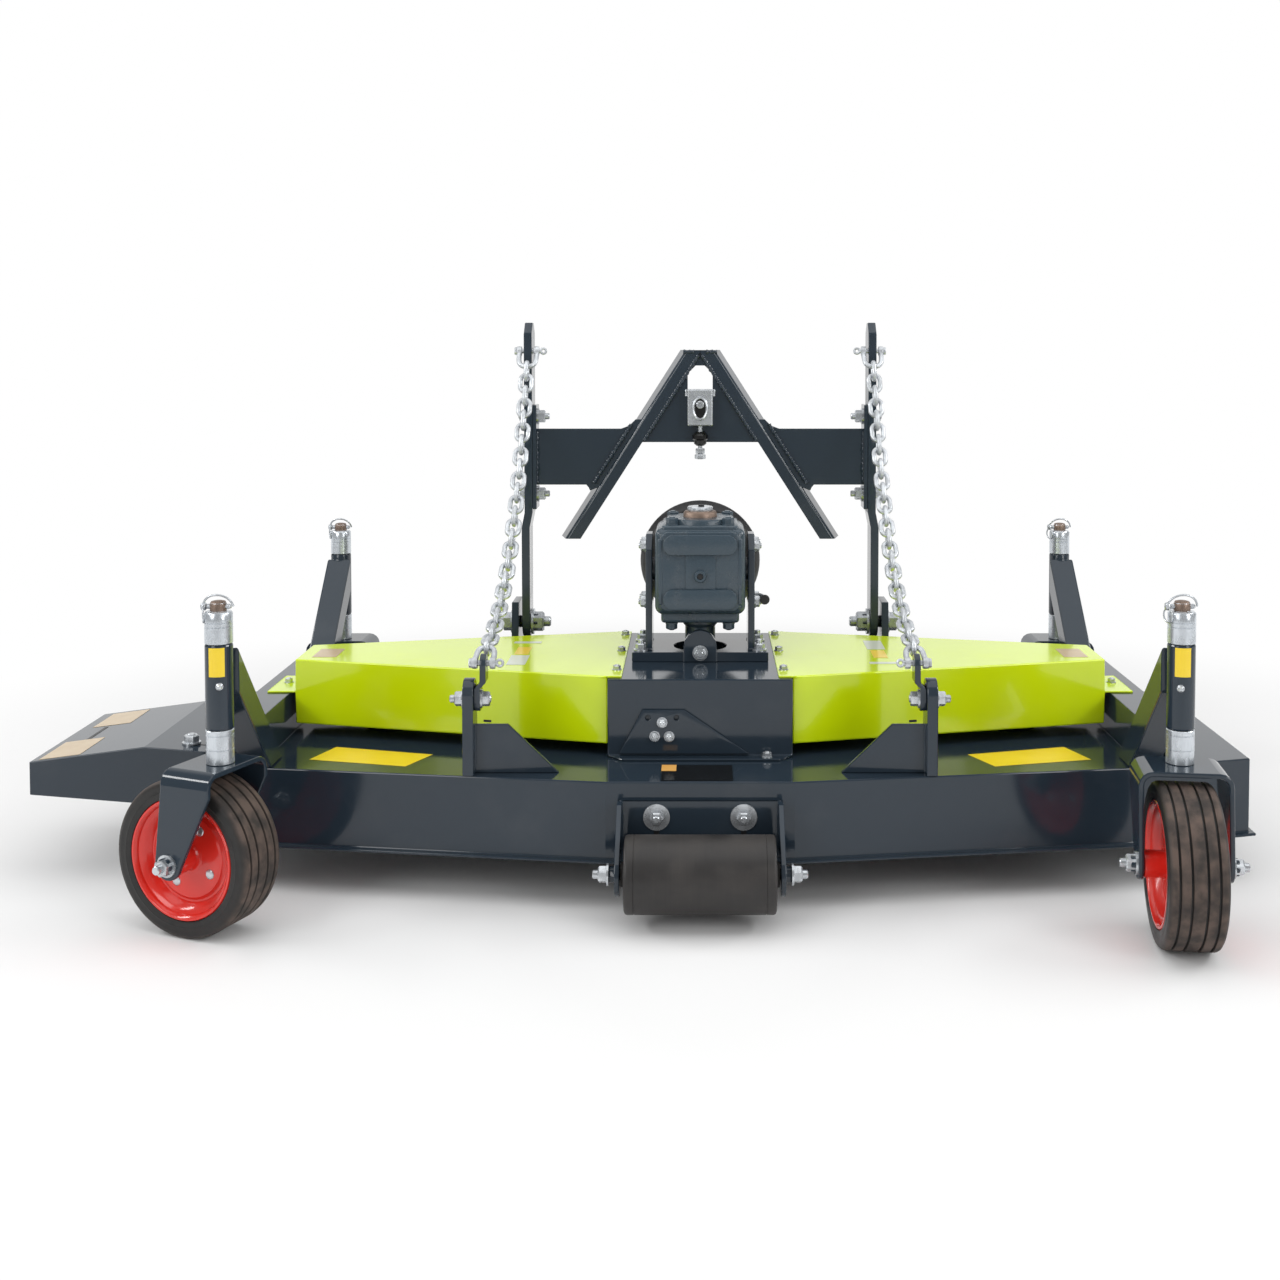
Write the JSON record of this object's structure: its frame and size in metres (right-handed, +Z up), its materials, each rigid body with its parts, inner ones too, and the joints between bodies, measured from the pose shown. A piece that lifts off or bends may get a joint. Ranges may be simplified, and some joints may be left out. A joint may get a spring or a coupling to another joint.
{
  "type": "front rotary mower",
  "caption": "Tractor-mounted rotary mower: folded deck with belt covers, gearbox, swivelling casters, front roller, side chute and a chain-held coupling frame.",
  "frame": {"origin": "centre of the power take-off shaft's end face", "axes": "+X towards the picture's right, +Y towards the tractor, +Z up"},
  "size_m": [2.105, 1.305, 0.962],
  "materials": {
    "deck_paint": "gloss anthracite paint over folded steel",
    "cover_paint": "gloss lime paint",
    "zinc": "bright zinc plating",
    "rim_red": "red paint on pressed steel",
    "tyre_rubber": "solid rubber with ribs",
    "roller_rubber": "smooth dark rubber",
    "gearbox_paint": "painted cast iron",
    "black_plastic": "moulded black plastic",
    "bare_steel": "bare machined or forged steel"
  },
  "bodies": {
    "deck": {"deck_shell": "deck_paint", "side_chute": "deck_paint", "centre_box": "deck_paint", "belt_cover_left": "cover_paint", "belt_cover_right": "cover_paint", "side_rail_left": "deck_paint", "side_rail_right": "deck_paint", "gearbox_stand": "deck_paint", "gearbox_housing": "gearbox_paint", "pto_shield": "black_plastic", "tensioner_lever": "deck_paint", "spindle_housing_left": "gearbox_paint", "spindle_housing_centre": "gearbox_paint", "spindle_housing_right": "gearbox_paint", "arm_front_left": "deck_paint", "arm_front_right": "deck_paint", "arm_rear_left": "deck_paint", "arm_rear_right": "deck_paint", "roller_bracket": "deck_paint", "chain_lug_left": "deck_paint", "chain_lug_right": "deck_paint", "link_plate_left": "deck_paint", "link_plate_right": "deck_paint", "hitch_lug_left": "deck_paint", "hitch_lug_right": "deck_paint", "chain_left": "zinc", "chain_right": "zinc"},
    "coupling_frame": {"upright_left": "deck_paint", "upright_right": "deck_paint", "coupling_triangle": "deck_paint", "lock_block": "zinc"},
    "blade_left": {"blade_left": "bare_steel"},
    "blade_centre": {"blade_centre": "bare_steel"},
    "blade_right": {"blade_right": "bare_steel"},
    "pto_shaft": {"pto_shaft": "bare_steel"},
    "front_roller": {"front_roller": "roller_rubber"},
    "swivel_front_left": {"caster_stem_front_left": "zinc", "caster_fork_front_left": "deck_paint"},
    "wheel_front_left": {"rim_front_left": "rim_red", "tyre_front_left": "tyre_rubber"},
    "swivel_front_right": {"caster_stem_front_right": "zinc", "caster_fork_front_right": "deck_paint"},
    "wheel_front_right": {"rim_front_right": "rim_red", "tyre_front_right": "tyre_rubber"},
    "swivel_rear_left": {"caster_stem_rear_left": "zinc", "caster_fork_rear_left": "deck_paint"},
    "wheel_rear_left": {"rim_rear_left": "rim_red", "tyre_rear_left": "tyre_rubber"},
    "swivel_rear_right": {"caster_stem_rear_right": "zinc", "caster_fork_rear_right": "deck_paint"},
    "wheel_rear_right": {"rim_rear_right": "rim_red", "tyre_rear_right": "tyre_rubber"}
  },
  "joints": [
    {"name": "hitch_tilt", "type": "hinge", "parent": "deck", "child": "coupling_frame", "pos_m": [0, 0.068, -0.15], "axis": [-1, 0, 0], "range_deg": [-15, 5], "deforming": ["chain_left", "chain_right"]},
    {"name": "roller_spin", "type": "hinge", "parent": "deck", "child": "front_roller", "pos_m": [0, -0.6215, -0.422], "axis": [1, 0, 0], "continuous": true},
    {"name": "blade_centre_spin", "type": "hinge", "parent": "deck", "child": "blade_centre", "pos_m": [0, -0.24, -0.407], "axis": [0, 0, 1], "continuous": true},
    {"name": "blade_left_spin", "type": "hinge", "parent": "deck", "child": "blade_left", "pos_m": [-0.585, -0.15, -0.407], "axis": [0, 0, 1], "continuous": true},
    {"name": "blade_right_spin", "type": "hinge", "parent": "deck", "child": "blade_right", "pos_m": [0.585, -0.15, -0.407], "axis": [0, 0, 1], "continuous": true},
    {"name": "pto_spin", "type": "hinge", "parent": "deck", "child": "pto_shaft", "pos_m": [0, 0, 0], "axis": [0, 1, 0], "continuous": true},
    {"name": "swivel_front_left_turn", "type": "hinge", "parent": "deck", "child": "swivel_front_left", "pos_m": [-0.748, -0.652, -0.234], "axis": [0, 0, 1], "continuous": true},
    {"name": "wheel_front_left_roll", "type": "hinge", "parent": "swivel_front_left", "child": "wheel_front_left", "pos_m": [-0.78972, -0.63514, -0.38], "axis": [-0.3746, -0.9272, 0], "continuous": true},
    {"name": "swivel_front_right_turn", "type": "hinge", "parent": "deck", "child": "swivel_front_right", "pos_m": [0.748, -0.652, -0.234], "axis": [0, 0, 1], "continuous": true},
    {"name": "wheel_front_right_roll", "type": "hinge", "parent": "swivel_front_right", "child": "wheel_front_right", "pos_m": [0.74252, -0.69666, -0.38], "axis": [0.9925, -0.1219, 0], "continuous": true},
    {"name": "swivel_rear_left_turn", "type": "hinge", "parent": "deck", "child": "swivel_rear_left", "pos_m": [-0.788, 0.31, -0.234], "axis": [0, 0, 1], "continuous": true},
    {"name": "wheel_rear_left_roll", "type": "hinge", "parent": "swivel_rear_left", "child": "wheel_rear_left", "pos_m": [-0.788, 0.355, -0.38], "axis": [-1, 0, 0], "continuous": true},
    {"name": "swivel_rear_right_turn", "type": "hinge", "parent": "deck", "child": "swivel_rear_right", "pos_m": [0.788, 0.31, -0.234], "axis": [0, 0, 1], "continuous": true},
    {"name": "wheel_rear_right_roll", "type": "hinge", "parent": "swivel_rear_right", "child": "wheel_rear_right", "pos_m": [0.788, 0.355, -0.38], "axis": [-1, 0, 0], "continuous": true}
  ],
  "couplings": [
    {"joint": "blade_left_spin", "follows": "blade_centre_spin", "ratio": 1},
    {"joint": "blade_right_spin", "follows": "blade_centre_spin", "ratio": 1},
    {"joint": "pto_spin", "follows": "blade_centre_spin", "ratio": 0.33}
  ]
}
